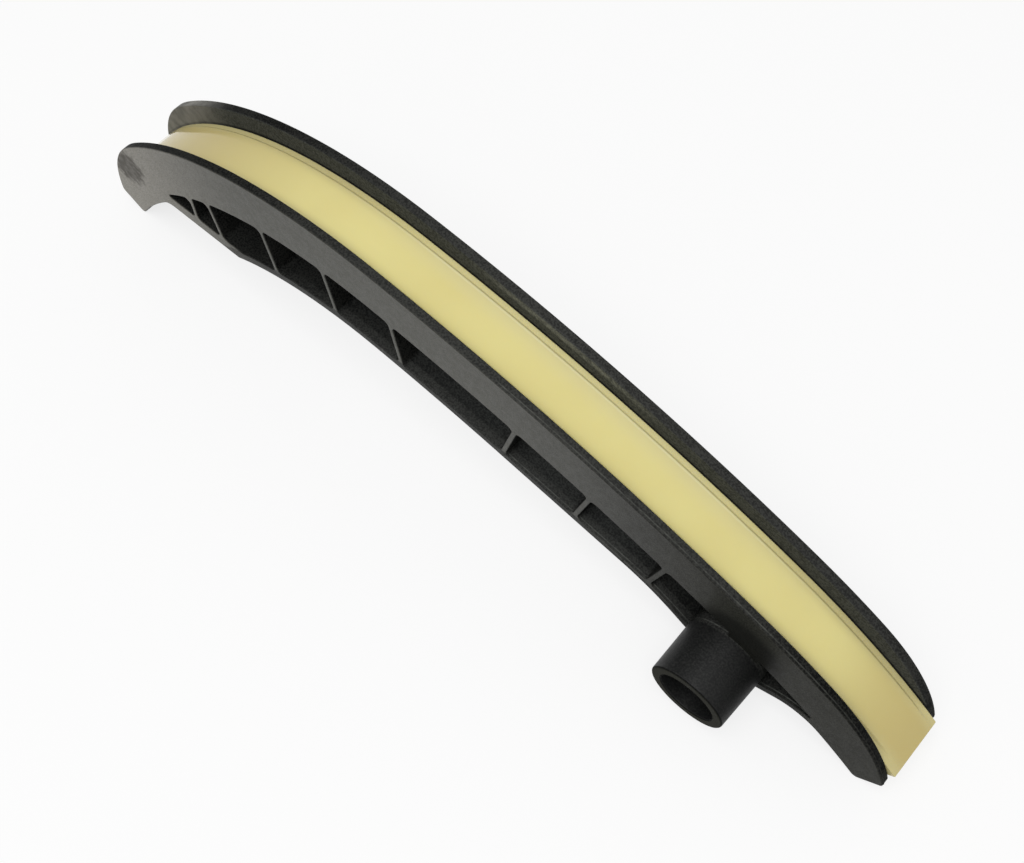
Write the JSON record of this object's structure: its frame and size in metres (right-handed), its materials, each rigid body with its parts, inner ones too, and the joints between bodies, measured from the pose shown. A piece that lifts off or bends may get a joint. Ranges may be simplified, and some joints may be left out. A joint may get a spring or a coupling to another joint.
{
  "type": "timing chain guide",
  "caption": "Curved timing chain guide: a ribbed black nylon carrier with side flanges and a side pivot boss, and a cream slide lining that the chain runs along.",
  "frame": {"origin": "on the pivot bore's axis, midway between the two flanges", "axes": "+X along the rail from the hooked end to the pivot end, +Y across the rail away from the boss, +Z towards the chain; both lower ends are level"},
  "size_m": [0.2965, 0.0402, 0.0732],
  "materials": {
    "carrier_nylon": "matt, glass filled",
    "liner_nylon": "satin"
  },
  "bodies": {
    "root": {"carrier": "carrier_nylon", "liner": "liner_nylon"}
  },
  "joints": []
}
